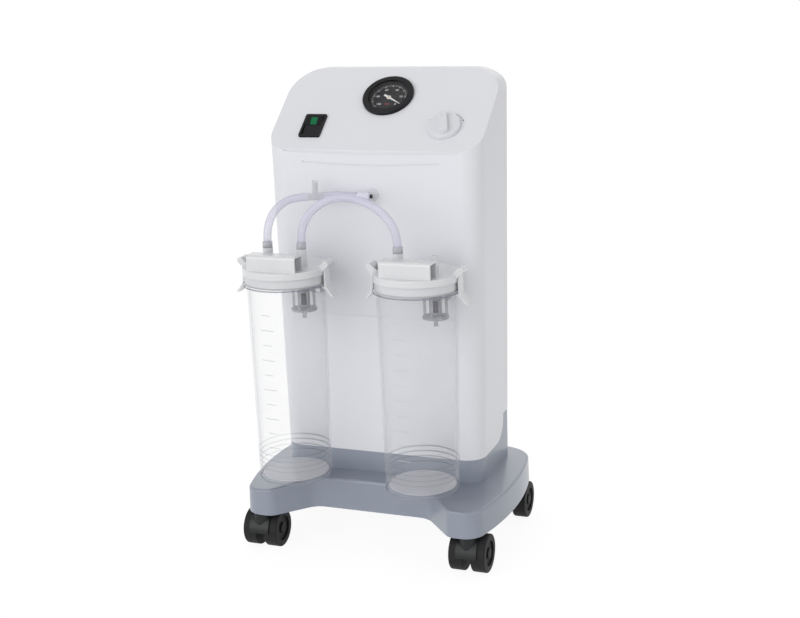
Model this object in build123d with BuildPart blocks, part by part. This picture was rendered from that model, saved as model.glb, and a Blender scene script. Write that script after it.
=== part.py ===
from build123d import *
import os
from math import radians, sin, cos, tan, sqrt

# Mobile vacuum aspirator: a two-jar medical suction unit on casters.
# Millimetres, +X to the right of someone facing the controls, front is -Y,
# +Z up, origin on the floor below the middle of the whole outline.

# Fits that repeat
run_fit = 0.05
seat_fit = 0.02
screw_fit = 0.1
gap = 0.3

# Casters
wheel_d = 58.0
wheel_w = 22.0
wheel_tread = 12.0
wheel_gap = 12.0
wheel_edge = 2.0
wheel_dish_r = 19.0
wheel_dish = 3.0
axle_d = 8.0
trail = 16.0
caster_x = 168.0
caster_front_y = -102.0
caster_rear_y = 117.0
stem_d = 11.0
stem_len = 30.0
collar_d = 20.0
hood_wall = 2.0
hood_gap = 0.7
hood_w = 32.0
hood_hub_d = 26.0
hood_sweep = 105.0

# Base tray
base_z = 61.5
base_wall = 3.0
base_draft = 1.5
base_span_y = -61.0
base_span_half = 92.0
base_toe_y = -119.0
base_toe_in_x = 143.0
base_toe_out_x = 184.0
base_side_x = 206.0
base_side_y = 26.0
base_back_y = 171.0
base_back_x = 186.0
base_notch_r = 32.0
base_toe_in_r = 20.0
base_toe_out_r = 30.0
base_back_r = 46.0
crown_z = 112.0
crown_r = 2460.0
base_edge_r = 4.0
socket_wall = 4.0
plinth_wall = 4.0
plinth_front_z = 144.0
plinth_rear_z = 184.0
plinth_rear_y = 100.0
plinth_sweep_r = 34.0

# Housing
body_half_w = 163.0
body_flare = 0.65
body_front_y = -19.0
body_back_y = 136.0
body_front_r = 30.0
body_back_r = 14.0
body_wall = 3.0
crease_z = 613.0
panel_angle = 38.5
panel_len = 176.0
body_top_r = 14.0
shoulder_w = 52.0
shoulder_h = 38.0
fold_r = 6.0
reveal = 0.4
rear_wall = 3.0
rear_margin = 8.0
rear_rim = 16.0
boss_d = 9.0
boss_depth = 10.0
seam_z = 362.0
seam_w = 1.2
seam_depth = 0.8
crease_w = 2.4
crease_depth = 1.5
crease_half = 138.0
crease_sag = 3.0
brow_z = 595.0
brow_half = 108.0
brow_sag = 4.0

# Control panel: places are across from the middle and up the slope
gauge_v = 112.0
gauge_d = 80.0
gauge_can_d = 68.0
gauge_can_depth = 34.0
gauge_can_wall = 1.5
gauge_flange_t = 1.0
gauge_rim_h = 5.0
gauge_lens_t = 2.0
gauge_lens_w = 3.0
gauge_dial_t = 1.0
gauge_dial_w = -3.0
gauge_pivot_d = 3.0
movement_depth = 10.0
needle_len = 25.0
needle_tail = 10.0
needle_w = 1.6
needle_t = 0.8
needle_turn = -32.0
switch_u = -104.5
switch_v = 48.0
switch_w = 35.0
switch_h = 47.0
switch_rim_h = 3.0
switch_rim_w = 4.0
switch_depth = 26.0
rocker_depth = 9.0
rocker_pin_d = 3.0
rocker_swing = 16.0
rocker_crest = 5.0
knob_u = 105.0
knob_v = 49.0
knob_d = 50.0
knob_skirt_h = 6.0
knob_grip_h = 14.0
knob_grip_w = 14.0
knob_turn = 45.0
spindle_d = 6.0
valve_d = 26.0
valve_len = 30.0
valve_neck_d = 12.0

# Suction jars
jar_x = 102.0
jar_y = -108.0
jar_z = 133.0
jar_bottom_r = 54.0
jar_neck_r = 58.0
jar_wall = 2.5
jar_floor = 3.5
jar_edge_r = 5.0
collar_z = 429.0
collar_r = 63.2
rim_z = 446.0

# Jar brackets on the housing
bracket_w = 40.0
bracket_t = 4.0
bracket_z = 395.0
bracket_h = 45.0
bracket_rise = 15.0
bracket_reach = 17.0
bracket_shelf_t = 5.0
hook_w = 30.0
hook_t = 4.0
hook_drop = 15.0
screw_head_d = 8.0
screw_head_h = 2.5
screw_d = 4.0

# Lids
lid_t = 10.0
lid_edge_r = 2.0
lid_plug_t = 3.0
seal_t = 2.4
grip_w = 76.0
grip_front = 50.0
grip_depth = 28.0
grip_h = 23.0
grip_wall = 3.0
port_x = 27.0
port_boss_d = 15.0
port_top_z = 481.0
port_bore_d = 5.0
patient_port_d = 8.0
patient_port_len = 14.0
cage_d = 38.0
cage_h = 56.0
cage_bar = 4.0
cage_plate = 3.0
float_d = 18.0
float_h = 24.0
float_stem_d = 6.0
float_lift = 12.0

# Latches
latch_out = 4.8
latch_up = 16.0
latch_w = 16.0
latch_t = 2.6
latch_pin_d = 3.0
latch_ring_r = 4.6
latch_gap = 0.4
latch_hook = 3.9
latch_hook_t = 3.2
latch_tail_out = 11.0
latch_tail_down = 14.0
ear_t = 3.4

# Hoses and fittings
hose_d = 12.0
port_fit_x = 2.6
port_fit_z = 547.6
port_flange_d = 20.0
port_flange_t = 3.0
port_tube_d = 9.0
port_reach = 15.0
port_arm = 16.0
port_nut_w = 16.0
port_nut_t = 5.0
tee_x = -75.0
tee_y = -50.0
tee_z = 548.0
tee_turn = 28.0
tee_d = 11.0
tee_arm = 11.0
tee_spigot_d = 9.0
tee_spigot_h = 24.0
tee_bore_d = 5.0
limp_bend = 3.0

# Inside the housing
post_x = 100.0
post_y = 46.0
post_d = 18.0
post_top_z = 120.0
chassis_w = 236.0
chassis_d = 124.0
chassis_t = 2.0
mount_x = 77.0
mount_y = 34.0
mount_d = 22.0
mount_h = 20.0
motor_r = 48.0
motor_half = 57.0
case_len = 40.0
case_depth = 88.0
case_h = 112.0
shaft_d = 12.0
shaft_end = 22.0
fan_r = 42.0
fan_t = 14.0
fan_blades = 9
head_depth = 70.0
head_h = 42.0
head_fins = 6
fin_gap = 3.0
capacitor_d = 36.0
capacitor_len = 80.0
inner_hose_d = 10.0

# Rear panel
vent_rows = 9
vent_w = 64.0
vent_h = 4.0
vent_pitch = 9.0
vent_x = 52.0
vent_z = 250.0
inlet_x = -96.0
inlet_z = 222.0
inlet_w = 48.0
inlet_h = 28.0
inlet_depth = 22.0
fuse_x = -40.0
fuse_d = 14.0
fuse_pitch = 22.0

os.makedirs("parts", exist_ok=True)


def save(part, name):
    """Label one finished piece and write it under its own name."""
    part.label = name
    export_step(part, f"parts/{name}.step")


def upright(x, y):
    """Plane facing the front at x, y, with its own y pointing up."""
    return Plane(origin=(x, y, 0), x_dir=(1, 0, 0), z_dir=(0, -1, 0))


def sideways(x):
    """Plane facing +X at x: local x runs along Y and local y runs up."""
    return Plane(origin=(x, 0, 0), x_dir=(0, 1, 0), z_dir=(1, 0, 0))


slope = radians(panel_angle)
panel = Plane(
    origin=(0, body_front_y, crease_z),
    x_dir=(1, 0, 0),
    z_dir=(0, -sin(slope), cos(slope)),
)


def on_panel(u, v, w=0.0, turn=0.0):
    """Plane on the sloped panel at u across, v up the slope and w out of it."""
    spot = panel.from_local_coords(Vector(u, v, w))
    across = panel.x_dir * cos(radians(turn)) + panel.y_dir * sin(radians(turn))
    return Plane(origin=spot, x_dir=across, z_dir=panel.z_dir)


wheel_r = wheel_d / 2
mid_y = (body_front_y + body_back_y) / 2
body_top = crease_z + panel_len * sin(slope)
foot_z = plinth_front_z - 20
caster_spots = {
    "fl": (-caster_x, caster_front_y),
    "fr": (caster_x, caster_front_y),
    "rl": (-caster_x, caster_rear_y),
    "rr": (caster_x, caster_rear_y),
}
jar_spots = {"left": -jar_x, "right": jar_x}


def base_outline(inset):
    """Plan of the tray: toes reach forward to the front casters."""
    with BuildSketch() as plan:
        with BuildLine():
            front = Polyline(
                (0, base_span_y + inset),
                (base_span_half, base_span_y + inset),
                (base_toe_in_x + inset * 0.4, base_toe_y + inset),
                (base_toe_out_x - inset * 0.6, base_toe_y + inset),
            )
            side = ThreePointArc(
                front @ 1,
                (base_side_x - inset, base_side_y),
                (base_back_x - inset * 0.6, base_back_y - inset),
            )
            Line(side @ 1, (0, base_back_y - inset))
            mirror(about=Plane.YZ)
        make_face()
        toe_mid = (base_toe_in_x + base_toe_out_x) / 2
        toes = plan.vertices().group_by(Axis.Y)[0]
        fillet([v for v in toes if abs(v.X) > toe_mid], base_toe_out_r - inset)
        inner = [v for v in plan.vertices() if abs(abs(v.X) - base_toe_in_x - inset * 0.4) < 0.5]
        fillet(inner, base_toe_in_r - inset)
        notch = [v for v in plan.vertices() if abs(abs(v.X) - base_span_half) < 0.5 and v.Y < 0]
        fillet(notch, base_notch_r + inset)
        rear = plan.vertices().group_by(Axis.Y)[-1]
        fillet([v for v in rear if abs(v.X) > base_back_x - 30], base_back_r - inset)
    return plan.sketch


def body_plan(inset):
    """Plan of the housing at its foot, rounder in front than behind."""
    with BuildSketch() as plan:
        with Locations((0, mid_y)):
            Rectangle(2 * (body_half_w - inset), body_back_y - body_front_y - 2 * inset)
        fillet(plan.vertices().group_by(Axis.Y)[0], body_front_r - inset)
        fillet(plan.vertices().group_by(Axis.Y)[-1], body_back_r - inset)
    return plan.sketch


def sweep_profile(grow):
    """Side view of the space below the housing: low in front, high behind."""
    low_z = plinth_front_z + grow
    with BuildSketch(Plane.YZ) as profile:
        with BuildLine():
            low = Line((base_toe_y, low_z), (plinth_rear_y - plinth_sweep_r, low_z))
            bend = CenterArc(
                (plinth_rear_y - plinth_sweep_r, plinth_front_z + plinth_sweep_r),
                plinth_sweep_r - grow, -90, 90,
            )
            high_z = plinth_rear_z + grow
            rise = Line(bend @ 1, (plinth_rear_y - grow, high_z))
            rear = Line(rise @ 1, (base_back_y + 10, high_z))
            down = Line(rear @ 1, (base_back_y + 10, 0))
            under = Line(down @ 1, (base_toe_y, 0))
            Line(under @ 1, low @ 0)
        make_face()
    return profile.sketch_local


# Base tray: hollow moulding, crowned deck, four caster sockets and the plinth
crown_centre = (0, base_side_y, crown_z - crown_r)
with BuildPart() as tray_hollow:
    with BuildSketch(Plane.XY.offset(base_z - 1)):
        add(base_outline(base_wall))
    extrude(amount=crown_z, taper=base_draft)
    with Locations(crown_centre):
        Sphere(crown_r - base_wall, mode=Mode.INTERSECT)
    with BuildSketch(Plane.XY.offset(base_z + 2)):
        with Locations(*caster_spots.values()):
            Circle(stem_d / 2 + socket_wall)
    extrude(amount=crown_z, mode=Mode.SUBTRACT)

with BuildPart() as plinth:
    with BuildSketch(Plane.XY.offset(crown_z - 8.5)):
        add(body_plan(0))
        add(body_plan(plinth_wall), mode=Mode.SUBTRACT)
    extrude(amount=plinth_rear_z - crown_z + 30)
    with BuildSketch(Plane.YZ):
        add(sweep_profile(0))
    extrude(amount=2 * body_half_w, both=True, mode=Mode.INTERSECT)

with BuildPart() as base_tray:
    with BuildSketch(Plane.XY.offset(base_z)):
        add(base_outline(0))
    extrude(amount=crown_z, taper=base_draft)
    with Locations(crown_centre):
        Sphere(crown_r, mode=Mode.INTERSECT)
    fillet(base_tray.faces().sort_by(Axis.Z)[-1].outer_wire().edges(), base_edge_r)
    add(tray_hollow.part, mode=Mode.SUBTRACT)
    with BuildSketch(Plane.XY.offset(base_z)):
        with Locations(*caster_spots.values()):
            Circle(stem_d / 2 + run_fit)
    extrude(amount=stem_len + 1, mode=Mode.SUBTRACT)
    add(plinth.part)
    with BuildSketch(Plane.XY.offset(crown_z - 4)):
        with Locations((0, mid_y)):
            with GridLocations(2 * post_x, 2 * post_y, 2, 2):
                Circle(post_d / 2)
    extrude(amount=post_top_z - crown_z + 4)
save(base_tray.part, "base_tray")


def housing_form(inset):
    """Solid housing form, smaller by inset all round above its foot."""
    back_y = body_back_y
    top = body_top - inset
    reach = body_half_w + (body_top - foot_z) * tan(radians(body_flare))
    front = body_front_y + inset
    knee = crease_z - inset * (1 - sin(slope)) / cos(slope)
    crest = front + (top - knee) / tan(slope)
    with BuildPart() as form:
        with BuildSketch(upright(0, front)):
            with BuildLine():
                Polyline(
                    (-body_half_w + inset, foot_z), (body_half_w - inset, foot_z),
                    (reach - inset, body_top), (-reach + inset, body_top), close=True,
                )
            make_face()
        extrude(amount=front + inset - back_y)
        upright_edges = form.edges().filter_by(lambda edge: abs((edge % 0.5).Z) > 0.9)
        fillet(upright_edges.group_by(Axis.Y)[0], body_front_r - inset)
        upright_edges = form.edges().filter_by(lambda edge: abs((edge % 0.5).Z) > 0.9)
        fillet(upright_edges.group_by(Axis.Y)[-1], body_back_r - inset)
        with BuildSketch(Plane.YZ) as side:
            with BuildLine():
                Polyline(
                    (front - 20, foot_z), (front - 20, knee - 20 * tan(slope)), (crest, top),
                    (back_y + 40, top), (back_y + 40, foot_z), close=True,
                )
            make_face()
            fillet(side.vertices().sort_by_distance((crest, top))[0], body_top_r)
        extrude(amount=2 * reach, both=True, mode=Mode.INTERSECT)
        with BuildSketch(Plane.XZ):
            with Locations((0, foot_z)):
                Rectangle(2 * reach, body_top - shoulder_h - foot_z, align=(Align.CENTER, Align.MIN))
                Rectangle(2 * (reach - shoulder_w), top - foot_z, align=(Align.CENTER, Align.MIN))
            shoulder = reach - shoulder_w
            with Locations((shoulder, body_top - shoulder_h), (-shoulder, body_top - shoulder_h)):
                Ellipse(shoulder_w - inset, shoulder_h - inset)
        extrude(amount=2 * reach, both=True, mode=Mode.INTERSECT)
    return form.part


# Housing shell with the sloped control panel and a rim round the open back
front_face = upright(0, body_front_y)
rear_face_y = body_back_y + rear_wall
rear_low = plinth_rear_z + reveal
rear_high = body_top - shoulder_h
rear_mid = (rear_low + rear_high) / 2
boss_x = body_half_w - rear_rim + boss_d / 2 + 2
boss_spots = [(x, z) for x in (-boss_x, boss_x) for z in (rear_low + 40, rear_mid, rear_high - 30)]
with BuildPart() as front_cover:
    add(housing_form(0))
    add(housing_form(body_wall), mode=Mode.SUBTRACT)
    with BuildSketch(Plane.YZ):
        add(sweep_profile(0))
    extrude(amount=2 * body_half_w, both=True, mode=Mode.SUBTRACT)
    with BuildSketch(upright(0, body_back_y + 1)):
        with Locations((0, rear_mid)):
            RectangleRounded(2 * (body_half_w - rear_rim), rear_high - rear_low - 2 * rear_rim, 12)
    extrude(amount=body_wall + 4, mode=Mode.SUBTRACT)
    # bosses inside the rim for the rear panel's screws
    with BuildSketch(upright(0, body_back_y - 1)):
        with Locations(*boss_spots):
            Circle(boss_d / 2)
    extrude(amount=boss_depth)
    with BuildSketch(upright(0, body_back_y + 1)):
        with Locations(*boss_spots):
            Circle(screw_d / 2 + screw_fit)
    extrude(amount=boss_depth, mode=Mode.SUBTRACT)
    # screw holes of the jar brackets
    with BuildSketch(front_face):
        for x in jar_spots.values():
            with Locations((x, bracket_z + bracket_h / 2)):
                with GridLocations(bracket_w - 14, bracket_h - 11, 2, 2):
                    Circle(screw_d / 2 + screw_fit)
    extrude(amount=-20, both=True, mode=Mode.SUBTRACT)
    # windows for the gauge, the switch, the valve neck and the vacuum port
    with BuildSketch(on_panel(0, gauge_v, 10)):
        Circle(gauge_can_d / 2 + gap)
    extrude(amount=-30, mode=Mode.SUBTRACT)
    with BuildSketch(on_panel(switch_u, switch_v, 10)):
        Rectangle(switch_w - 2 * switch_rim_w + 2 * gap + 4, switch_h - 2 * switch_rim_w + 2 * gap + 4)
    extrude(amount=-30, mode=Mode.SUBTRACT)
    with BuildSketch(on_panel(knob_u, knob_v, 10)):
        Circle(valve_neck_d / 2 + gap)
    extrude(amount=-30, mode=Mode.SUBTRACT)
    with BuildSketch(front_face):
        with Locations((port_fit_x, port_fit_z)):
            Circle(port_tube_d / 2 + gap)
    extrude(amount=-20, both=True, mode=Mode.SUBTRACT)
    # crease below the panel, the bowed brow line and the seam across the front
    with BuildSketch(front_face):
        with BuildLine() as crease_line:
            ThreePointArc(
                (-crease_half, crease_z - 2), (0, crease_z - 2 - crease_sag), (crease_half, crease_z - 2)
            )
        trace(crease_line.line, crease_w)
        with BuildLine() as brow_line:
            ThreePointArc((-brow_half, brow_z), (0, brow_z - brow_sag), (brow_half, brow_z))
        trace(brow_line.line, crease_w)
    extrude(amount=-crease_depth, mode=Mode.SUBTRACT)
    with BuildSketch(front_face):
        with Locations((0, seam_z)):
            Rectangle(2 * (body_half_w - body_front_r), seam_w)
    extrude(amount=-seam_depth, mode=Mode.SUBTRACT)
save(front_cover.part, "front_cover")

# Rear panel with louvres, mains inlet window and fuse holes
with BuildPart() as rear_cover:
    with BuildSketch(upright(0, rear_face_y)):
        with Locations((0, rear_mid)):
            RectangleRounded(2 * (body_half_w - rear_margin), rear_high - rear_low - 2 * rear_margin, 16)
        for x in (-vent_x, vent_x):
            with Locations((x, vent_z + 200)):
                with GridLocations(1, vent_pitch, 1, vent_rows):
                    SlotOverall(vent_w, vent_h, mode=Mode.SUBTRACT)
        with Locations((inlet_x, inlet_z)):
            Rectangle(inlet_w - 8, inlet_h - 4, mode=Mode.SUBTRACT)
        with Locations((fuse_x, inlet_z), (fuse_x + fuse_pitch, inlet_z)):
            Circle(fuse_d / 2 - 1, mode=Mode.SUBTRACT)
        with Locations(*boss_spots):
            Circle(screw_d / 2 + screw_fit, mode=Mode.SUBTRACT)
    extrude(amount=rear_wall)
save(rear_cover.part, "rear_cover")

with BuildPart() as cover_screws:
    with BuildSketch(upright(0, rear_face_y)):
        with Locations(*boss_spots):
            Circle(screw_d / 2)
    extrude(amount=rear_wall + boss_depth - 3)
    with BuildSketch(upright(0, rear_face_y)):
        with Locations(*boss_spots):
            Circle(screw_head_d / 2)
    extrude(amount=-screw_head_h)
save(cover_screws.part, "cover_screws")

# Vacuum gauge
with BuildPart() as gauge_case:
    with BuildSketch(on_panel(0, gauge_v)):
        Circle(gauge_d / 2 - 2)
    extrude(amount=gauge_flange_t)
    with BuildSketch(on_panel(0, gauge_v)):
        Circle(gauge_can_d / 2)
    extrude(amount=-gauge_can_depth)
    with BuildSketch(on_panel(0, gauge_v, gauge_flange_t)):
        Circle(gauge_can_d / 2 - gauge_can_wall)
    extrude(amount=-(gauge_can_depth + gauge_flange_t - gauge_can_wall), mode=Mode.SUBTRACT)
    with BuildSketch(on_panel(0, gauge_v, -gauge_can_depth)):
        Circle(5)
    extrude(amount=-12)
save(gauge_case.part, "gauge_case")

with BuildPart() as gauge_bezel:
    with BuildSketch(on_panel(0, gauge_v)):
        Circle(gauge_d / 2)
    extrude(amount=gauge_rim_h)
    fillet(gauge_bezel.edges().sort_by(Axis.Z)[-1], 1.5)
    with BuildSketch(on_panel(0, gauge_v)):
        Circle(gauge_d / 2 - 2 + seat_fit)
    extrude(amount=gauge_flange_t, mode=Mode.SUBTRACT)
    # seat for the lens, then the window through the ring
    with BuildSketch(on_panel(0, gauge_v, gauge_flange_t)):
        Circle(gauge_can_d / 2 + 0.5 + seat_fit)
    extrude(amount=gauge_lens_t + seat_fit, mode=Mode.SUBTRACT)
    with BuildSketch(on_panel(0, gauge_v, gauge_flange_t)):
        Circle(gauge_can_d / 2 - gauge_lens_w)
    extrude(amount=gauge_rim_h, mode=Mode.SUBTRACT)
save(gauge_bezel.part, "gauge_bezel")

with BuildPart() as gauge_lens:
    with BuildSketch(on_panel(0, gauge_v, gauge_flange_t)):
        Circle(gauge_can_d / 2 + 0.5)
    extrude(amount=gauge_lens_t)
save(gauge_lens.part, "gauge_lens")

with BuildPart() as gauge_dial:
    with BuildSketch(on_panel(0, gauge_v, gauge_dial_w)):
        Circle(gauge_can_d / 2 - gauge_can_wall)
        Circle(gauge_pivot_d / 2 + gap, mode=Mode.SUBTRACT)
    extrude(amount=-gauge_dial_t)
save(gauge_dial.part, "gauge_dial")

# movement on the floor of the can, with the pivot that carries the needle
with BuildPart() as gauge_movement:
    with BuildSketch(on_panel(0, gauge_v, gauge_can_wall - gauge_can_depth)):
        Circle(movement_depth)
    extrude(amount=gauge_can_depth - gauge_can_wall + gauge_dial_w - gauge_dial_t)
    with BuildSketch(on_panel(0, gauge_v, gauge_dial_w - gauge_dial_t)):
        Circle(gauge_pivot_d / 2)
    extrude(amount=gauge_dial_t + 2.2)
save(gauge_movement.part, "gauge_movement")

with BuildPart() as gauge_needle:
    with BuildSketch(on_panel(0, gauge_v, gauge_dial_w + 1, needle_turn)):
        with BuildLine():
            Polyline(
                (-needle_tail, -needle_w), (0, -needle_w), (needle_len, -0.3),
                (needle_len, 0.3), (0, needle_w), (-needle_tail, needle_w), close=True,
            )
        make_face()
        Circle(gauge_pivot_d + 0.5)
    extrude(amount=needle_t)
    with BuildSketch(on_panel(0, gauge_v, gauge_dial_w + 0.4)):
        Circle(gauge_pivot_d)
    extrude(amount=2)
    with BuildSketch(on_panel(0, gauge_v, gauge_dial_w)):
        Circle(gauge_pivot_d / 2 + run_fit)
    extrude(amount=5, mode=Mode.SUBTRACT)
save(gauge_needle.part, "gauge_needle")

# Rocker switch
opening_w = switch_w - 2 * switch_rim_w
opening_h = switch_h - 2 * switch_rim_w
with BuildPart() as switch_frame:
    with BuildSketch(on_panel(switch_u, switch_v)):
        RectangleRounded(switch_w, switch_h, 3)
    extrude(amount=switch_rim_h, taper=8)
    with BuildSketch(on_panel(switch_u, switch_v)):
        Rectangle(opening_w + 4, opening_h + 4)
    extrude(amount=-switch_depth)
    with BuildSketch(on_panel(switch_u, switch_v, switch_rim_h)):
        Rectangle(opening_w, opening_h)
    extrude(amount=2 - switch_depth - switch_rim_h, mode=Mode.SUBTRACT)
    pin_hole = on_panel(switch_u, switch_v, -rocker_crest)
    with BuildSketch(Plane(origin=pin_hole.origin, x_dir=(0, 1, 0), z_dir=(1, 0, 0))):
        Circle(rocker_pin_d / 2 + run_fit)
    extrude(amount=opening_w / 2 + 1.5, both=True, mode=Mode.SUBTRACT)
    with BuildSketch(on_panel(switch_u, switch_v, -switch_depth)):
        with GridLocations(14, 14, 2, 2):
            Rectangle(6.3, 0.8)
    extrude(amount=-9)
save(switch_frame.part, "switch_frame")

rocker_w = opening_w - 2 * gap
rocker_half = opening_h / 2 - 1.2
rocker_axis = on_panel(switch_u, switch_v, -rocker_crest)
rocker_side = Plane(
    origin=rocker_axis.origin,
    x_dir=(0, cos(slope + radians(rocker_swing / 2)), sin(slope + radians(rocker_swing / 2))),
    z_dir=(1, 0, 0),
)


def lens_section(proud):
    """Side view of the lens that lies along the upper half of the rocker."""
    low = rocker_crest + 1.2
    rise = 1.8 / rocker_half
    near = 3
    far = rocker_half - 3
    return [
        (near, low + rise * near - 1.2), (far, low + rise * far - 1.2),
        (far, low + rise * far + proud), (near, low + rise * near + proud),
    ]


with BuildPart() as switch_rocker:
    with BuildSketch(rocker_side):
        with BuildLine():
            Polyline(
                (-rocker_half, 0), (-rocker_half, rocker_crest + 3), (0, rocker_crest + 1.2),
                (rocker_half, rocker_crest + 3), (rocker_half, 0),
                (5, -rocker_depth), (-5, -rocker_depth), close=True,
            )
        make_face()
    extrude(amount=rocker_w / 2, both=True)
    with BuildSketch(rocker_side):
        Circle(rocker_pin_d / 2)
    extrude(amount=opening_w / 2 + 1.3, both=True)
    # recess for the lamp lens in the upper half
    with BuildSketch(rocker_side):
        with BuildLine():
            Polyline(*lens_section(2), close=True)
        make_face()
    extrude(amount=rocker_w / 2 - 3 + seat_fit, both=True, mode=Mode.SUBTRACT)
save(switch_rocker.part, "switch_rocker")

with BuildPart() as switch_lens:
    with BuildSketch(rocker_side):
        with BuildLine():
            Polyline(*lens_section(0.3), close=True)
        make_face()
    extrude(amount=rocker_w / 2 - 3, both=True)
save(switch_lens.part, "switch_lens")

# Suction regulator: knob and spindle in front, needle valve behind the panel
with BuildPart() as regulator_knob:
    with BuildSketch(on_panel(knob_u, knob_v, 0.6)):
        Circle(knob_d / 2)
    extrude(amount=knob_skirt_h, taper=6)
    fillet(regulator_knob.edges().group_by(Axis.Z)[-1], 1.0)
    with BuildSketch(on_panel(knob_u, knob_v, knob_skirt_h, knob_turn)):
        RectangleRounded(knob_d - 8, knob_grip_w, 6)
    extrude(amount=knob_grip_h - knob_skirt_h, taper=5)
    # index line on the grip
    with BuildSketch(on_panel(knob_u, knob_v, knob_grip_h, knob_turn)):
        with Locations((knob_d / 4, 0)):
            Rectangle(knob_d / 4, 1.6)
    extrude(amount=-0.5, mode=Mode.SUBTRACT)
    with BuildSketch(on_panel(knob_u, knob_v, 0.6)):
        Circle(knob_d / 4)
    extrude(amount=4, mode=Mode.SUBTRACT)
    with BuildSketch(on_panel(knob_u, knob_v, 0)):
        Circle(spindle_d / 2 + seat_fit)
    extrude(amount=knob_grip_h - 3, mode=Mode.SUBTRACT)
save(regulator_knob.part, "regulator_knob")

with BuildPart() as regulator_spindle:
    with BuildSketch(on_panel(knob_u, knob_v, knob_grip_h - 3.2)):
        Circle(spindle_d / 2)
    extrude(amount=-(knob_grip_h + 9))
save(regulator_spindle.part, "regulator_spindle")

with BuildPart() as regulator_valve:
    with BuildSketch(on_panel(knob_u, knob_v, -body_wall)):
        Circle(valve_d / 2)
    extrude(amount=-valve_len)
    with BuildSketch(on_panel(knob_u, knob_v, -body_wall)):
        Circle(valve_neck_d / 2)
    extrude(amount=body_wall + 3.5)
    with BuildSketch(on_panel(knob_u, knob_v, 10)):
        Circle(spindle_d / 2 + run_fit)
    extrude(amount=-30, mode=Mode.SUBTRACT)
    with BuildSketch(Plane(origin=on_panel(knob_u, knob_v, -body_wall - valve_len / 2).origin,
                           x_dir=(0, 1, 0), z_dir=(1, 0, 0))):
        Circle(4)
    extrude(amount=-(valve_d / 2 + 12))
save(regulator_valve.part, "regulator_valve")

with BuildPart() as regulator_nut:
    with BuildSketch(on_panel(knob_u, knob_v)):
        RegularPolygon(valve_neck_d / 2 + 3.5, 6)
        Circle(valve_neck_d / 2 + seat_fit, mode=Mode.SUBTRACT)
    extrude(amount=3)
save(regulator_nut.part, "regulator_nut")

# Vacuum port: flanged elbow through the front with a nut behind it
port_tip_y = body_front_y - port_reach
port_end_x = port_fit_x - port_arm
with BuildPart() as vacuum_port:
    with BuildSketch(front_face):
        with Locations((port_fit_x, port_fit_z)):
            Circle(port_flange_d / 2)
    extrude(amount=port_flange_t)
    fillet(vacuum_port.edges().group_by(Axis.Y)[0], 1)
    with BuildSketch(upright(0, body_front_y + body_wall + port_nut_t + 12)):
        with Locations((port_fit_x, port_fit_z)):
            Circle(port_tube_d / 2)
    extrude(amount=body_wall + port_nut_t + 12 + port_reach)
    with Locations((port_fit_x, port_tip_y, port_fit_z)):
        Sphere(port_tube_d / 2)
    with BuildSketch(Plane(origin=(port_fit_x, port_tip_y, port_fit_z), z_dir=(-1, 0, 0))):
        Circle(port_tube_d / 2)
    extrude(amount=port_arm)
    # passage
    with BuildSketch(upright(0, body_front_y + body_wall + port_nut_t + 12)):
        with Locations((port_fit_x, port_fit_z)):
            Circle(port_bore_d / 2)
    extrude(amount=body_wall + port_nut_t + 12 + port_reach, mode=Mode.SUBTRACT)
    with BuildSketch(Plane(origin=(port_fit_x, port_tip_y, port_fit_z), z_dir=(-1, 0, 0))):
        Circle(port_bore_d / 2)
    extrude(amount=port_arm, mode=Mode.SUBTRACT)
save(vacuum_port.part, "vacuum_port")

with BuildPart() as vacuum_port_nut:
    with BuildSketch(upright(0, body_front_y + body_wall)):
        with Locations((port_fit_x, port_fit_z)):
            RegularPolygon(port_nut_w / 2, 6, major_radius=False)
            Circle(port_tube_d / 2 + seat_fit, mode=Mode.SUBTRACT)
    extrude(amount=-port_nut_t)
save(vacuum_port_nut.part, "vacuum_port_nut")

# Tee between the port hose and the hose to the first jar
tee_run = Vector(-cos(radians(tee_turn)), -sin(radians(tee_turn)), 0)
tee_centre = Vector(tee_x, tee_y, tee_z)
tee_right = tee_centre - tee_run * tee_arm
tee_left = tee_centre + tee_run * tee_arm
with BuildPart() as tee_fitting:
    with BuildSketch(Plane(origin=tee_right, z_dir=tee_run)):
        Circle(tee_d / 2)
    extrude(amount=2 * tee_arm)
    with BuildSketch(Plane.XY.offset(tee_z)):
        with Locations((tee_x, tee_y)):
            Circle(tee_spigot_d / 2)
    extrude(amount=tee_spigot_h)
    fillet(tee_fitting.edges().group_by(Axis.Z)[-1], 1.5)
    with BuildSketch(Plane(origin=tee_right, z_dir=tee_run)):
        Circle(tee_bore_d / 2)
    extrude(amount=2 * tee_arm, mode=Mode.SUBTRACT)
    with BuildSketch(Plane.XY.offset(tee_z)):
        with Locations((tee_x, tee_y)):
            Circle(tee_bore_d / 2)
    extrude(amount=tee_spigot_h - 4, mode=Mode.SUBTRACT)
save(tee_fitting.part, "tee_fitting")


def hose(route, diameter):
    """Hose along a route: straight runs joined by tangent arcs."""
    spots = [Vector(*spot) for spot in route]
    radii = []
    for before, here, after in zip(spots, spots[1:], spots[2:]):
        half_turn = radians((here - before).get_angle(after - here)) / 2
        run = min((here - before).length, (after - here).length)
        radii.append(0.45 * run / tan(half_turn))
    print("hose radii", [round(r, 1) for r in radii], "least wanted", limp_bend * diameter)
    with BuildPart() as tube:
        with BuildLine() as path:
            FilletPolyline(*spots, radius=radii)
        with BuildSketch(Plane(origin=spots[0], z_dir=spots[1] - spots[0])):
            Circle(diameter / 2)
        sweep(path=path.line)
    return tube.part


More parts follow.
